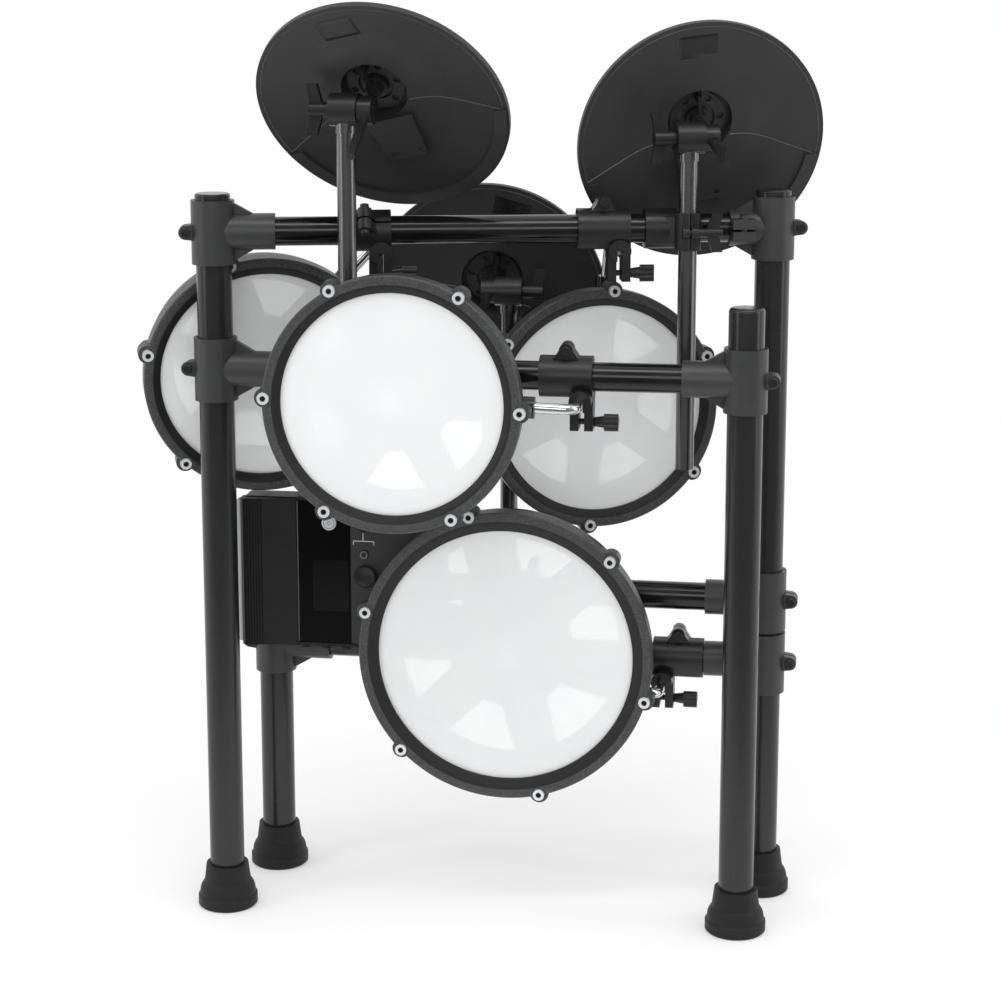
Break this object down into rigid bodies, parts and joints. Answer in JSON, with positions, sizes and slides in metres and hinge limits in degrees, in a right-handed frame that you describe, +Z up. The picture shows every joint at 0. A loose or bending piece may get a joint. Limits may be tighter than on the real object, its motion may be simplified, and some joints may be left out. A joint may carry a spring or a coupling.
{
  "type": "electronic drum kit",
  "caption": "Folded electronic drum kit: hinged tube rack on rubber feet with mesh-head pads on L-rods, boom-mounted cymbal pads and a sound module.",
  "frame": {"origin": "floor point under the left inner post, in the middle of its foot's underside", "axes": "+Z up along the posts, +X along the center tube to the right inner post, +Y away from the side the heads face"},
  "size_m": [0.6913, 0.3503, 0.9235],
  "materials": {
    "post_coat": "satin textured powder coat",
    "tube_coat": "gloss black paint",
    "clamp_plastic": "glass-filled black plastic",
    "tee_plastic": "satin charcoal plastic",
    "foot_rubber": "matte black rubber",
    "hoop_plastic": "speckled black plastic",
    "shell_plastic": "gloss black plastic",
    "mesh": "woven white mesh",
    "foam": "grey sensor foam on a black plate",
    "bolt_chrome": "polished",
    "rod_chrome": "polished",
    "boom_coat": "satin grey-black paint",
    "cymbal_rubber": "matte black rubber over plastic",
    "black_steel": "black oxide steel",
    "nut_plastic": "black plastic",
    "case_plastic": "fine textured black plastic",
    "panel_plastic": "black panel",
    "button_plastic": "pale grey plastic",
    "dial_plastic": "black plastic"
  },
  "bodies": {
    "rack_center": {"left_inner_post": "post_coat", "right_inner_post": "post_coat", "inner_post_caps": "tee_plastic", "inner_post_feet": "foot_rubber", "center_tube": "tube_coat", "center_tube_clamps": "tee_plastic", "center_mount_clamps": "clamp_plastic"},
    "right_wing": {"right_outer_post": "post_coat", "right_outer_foot": "foot_rubber", "right_wing_tube": "tube_coat", "right_wing_clamps": "tee_plastic", "right_mount_clamps": "clamp_plastic"},
    "left_wing": {"left_outer_post": "post_coat", "left_outer_foot": "foot_rubber", "left_wing_tubes": "tube_coat", "left_wing_clamps": "tee_plastic", "left_mount_clamps": "clamp_plastic"},
    "center_tom_arm": {"center_tom_rod": "rod_chrome"},
    "center_tom_pad": {"center_tom_shell": "shell_plastic", "center_tom_hoop": "hoop_plastic", "center_tom_head": "mesh", "center_tom_sensor": "foam", "center_tom_bolts": "bolt_chrome"},
    "right_tom_arm": {"right_tom_rod": "rod_chrome"},
    "right_tom_pad": {"right_tom_shell": "shell_plastic", "right_tom_hoop": "hoop_plastic", "right_tom_head": "mesh", "right_tom_sensor": "foam", "right_tom_bolts": "bolt_chrome"},
    "left_tom_arm": {"left_tom_rod": "rod_chrome"},
    "left_tom_pad": {"left_tom_shell": "shell_plastic", "left_tom_hoop": "hoop_plastic", "left_tom_head": "mesh", "left_tom_sensor": "foam", "left_tom_bolts": "bolt_chrome"},
    "snare_arm": {"snare_rod": "rod_chrome"},
    "snare_pad": {"snare_shell": "shell_plastic", "snare_hoop": "hoop_plastic", "snare_head": "mesh", "snare_sensor": "foam", "snare_bolts": "bolt_chrome"},
    "left_boom_arm": {"left_boom": "boom_coat"},
    "left_cymbal_pad": {"left_tilter": "black_steel", "left_cymbal": "cymbal_rubber"},
    "left_tilt_lock": {"left_tilter_wing_nut": "nut_plastic"},
    "right_boom_arm": {"right_boom": "boom_coat"},
    "right_cymbal_pad": {"right_tilter": "black_steel", "right_cymbal": "cymbal_rubber"},
    "right_tilt_lock": {"right_tilter_wing_nut": "nut_plastic"},
    "rear_boom_arm": {"rear_boom": "boom_coat"},
    "rear_cymbal_pad": {"rear_tilter": "black_steel", "rear_cymbal": "cymbal_rubber"},
    "rear_tilt_lock": {"rear_tilter_wing_nut": "nut_plastic"},
    "module": {"module_case": "case_plastic", "module_panel": "panel_plastic"},
    "module_power_key": {"module_power_button": "button_plastic"},
    "module_song_key": {"module_song_button": "button_plastic"},
    "module_kit_key": {"module_kit_button": "button_plastic"},
    "module_mode_key": {"module_mode_button": "button_plastic"},
    "module_knob": {"module_dial": "dial_plastic"}
  },
  "joints": [
    {"name": "right_wing_fold", "type": "hinge", "parent": "rack_center", "child": "right_wing", "pos_m": [0, 0, 0.563], "axis": [0, 0, 1], "range_deg": [-100, 0]},
    {"name": "left_wing_fold", "type": "hinge", "parent": "rack_center", "child": "left_wing", "pos_m": [0.556, 0, 0.282], "axis": [0, 0, 1], "range_deg": [-5, 0]},
    {"name": "center_tom_swing", "type": "hinge", "parent": "right_wing", "child": "center_tom_arm", "pos_m": [0.35816, -0.07287, 0.5425], "axis": [-0.1994, -0.9799, 0], "range_deg": [-12, 15]},
    {"name": "center_tom_tilt", "type": "hinge", "parent": "center_tom_arm", "child": "center_tom_pad", "pos_m": [0.3446, -0.1395, 0.5425], "axis": [-0.9793, 0.1992, 0.0366], "range_deg": [-8, 5]},
    {"name": "right_tom_swing", "type": "hinge", "parent": "rack_center", "child": "right_tom_arm", "pos_m": [0.4005, 0, 0.6785], "axis": [0, 1, 0], "range_deg": [-6, 3]},
    {"name": "right_tom_tilt", "type": "hinge", "parent": "right_tom_arm", "child": "right_tom_pad", "pos_m": [0.4005, 0.072, 0.6785], "axis": [-0.0958, 0, -0.9954], "range_deg": [-8, 1]},
    {"name": "left_tom_swing", "type": "hinge", "parent": "rack_center", "child": "left_tom_arm", "pos_m": [0.164, 0, 0.6785], "axis": [0, 1, 0], "range_deg": [-1, 6]},
    {"name": "left_tom_tilt", "type": "hinge", "parent": "left_tom_arm", "child": "left_tom_pad", "pos_m": [0.164, 0.0818, 0.6785], "axis": [-0.6858, 0, -0.7278], "range_deg": [-3, 6]},
    {"name": "snare_swing", "type": "hinge", "parent": "left_wing", "child": "snare_arm", "pos_m": [0.45495, 0.0224, 0.2285], "axis": [-0.2164, -0.9763, 0], "range_deg": [-6, 8]},
    {"name": "snare_tilt", "type": "hinge", "parent": "snare_arm", "child": "snare_pad", "pos_m": [0.44002, -0.04496, 0.2285], "axis": [-0.9385, 0.2081, 0.2756], "range_deg": [-3, 3]},
    {"name": "left_boom_swivel", "type": "hinge", "parent": "right_wing", "child": "left_boom_arm", "pos_m": [0.13121, -0.05527, 0.563], "axis": [0, 0, 1], "range_deg": [-40, 40]},
    {"name": "left_cymbal_tilt", "type": "hinge", "parent": "left_boom_arm", "child": "left_cymbal_pad", "pos_m": [0.13121, -0.05527, 0.821], "axis": [0.9478, -0.319, 0], "range_deg": [-5, 30]},
    {"name": "left_tilt_lock_turn", "type": "hinge", "parent": "left_boom_arm", "child": "left_tilt_lock", "pos_m": [0.13121, -0.05527, 0.821], "axis": [-0.9478, 0.319, 0], "continuous": true},
    {"name": "right_boom_swivel", "type": "hinge", "parent": "rack_center", "child": "right_boom_arm", "pos_m": [0.466, -0.028, 0.699], "axis": [0, 0, 1], "range_deg": [-10, 4]},
    {"name": "right_cymbal_tilt", "type": "hinge", "parent": "right_boom_arm", "child": "right_cymbal_pad", "pos_m": [0.466, -0.028, 0.79], "axis": [0.9942, 0.108, 0], "range_deg": [-3, 20]},
    {"name": "right_tilt_lock_turn", "type": "hinge", "parent": "right_boom_arm", "child": "right_tilt_lock", "pos_m": [0.466, -0.028, 0.79], "axis": [-0.9942, -0.108, 0], "continuous": true},
    {"name": "rear_boom_swivel", "type": "hinge", "parent": "left_wing", "child": "rear_boom_arm", "pos_m": [0.29932, 0.10351, 0.315], "axis": [0, 0, 1], "range_deg": [-10, 10]},
    {"name": "rear_cymbal_tilt", "type": "hinge", "parent": "rear_boom_arm", "child": "rear_cymbal_pad", "pos_m": [0.29932, 0.10351, 0.622], "axis": [0.9851, -0.1719, 0], "range_deg": [-10, 10]},
    {"name": "rear_tilt_lock_turn", "type": "hinge", "parent": "rear_boom_arm", "child": "rear_tilt_lock", "pos_m": [0.29932, 0.10351, 0.622], "axis": [0.9851, -0.1719, 0], "continuous": true},
    {"name": "module_swivel", "type": "hinge", "parent": "left_wing", "child": "module", "pos_m": [0.14076, 0.06747, 0.315], "axis": [-0.2164, -0.9763, 0], "range_deg": [-2, 8]},
    {"name": "module_power_press", "type": "slide", "parent": "module", "child": "module_power_key", "axis": [0.2164, 0.9763, 0], "range_m": [0, 0.0012], "stiffness_N_per_m": 400},
    {"name": "module_song_press", "type": "slide", "parent": "module", "child": "module_song_key", "axis": [0.2164, 0.9763, 0], "range_m": [0, 0.0012], "stiffness_N_per_m": 400},
    {"name": "module_kit_press", "type": "slide", "parent": "module", "child": "module_kit_key", "axis": [0.2164, 0.9763, 0], "range_m": [0, 0.0012], "stiffness_N_per_m": 400},
    {"name": "module_mode_press", "type": "slide", "parent": "module", "child": "module_mode_key", "axis": [0.2164, 0.9763, 0], "range_m": [0, 0.0012], "stiffness_N_per_m": 400},
    {"name": "module_dial_turn", "type": "hinge", "parent": "module", "child": "module_knob", "pos_m": [0.14724, 0.04402, 0.336], "axis": [-0.2164, -0.9763, 0], "continuous": true}
  ]
}
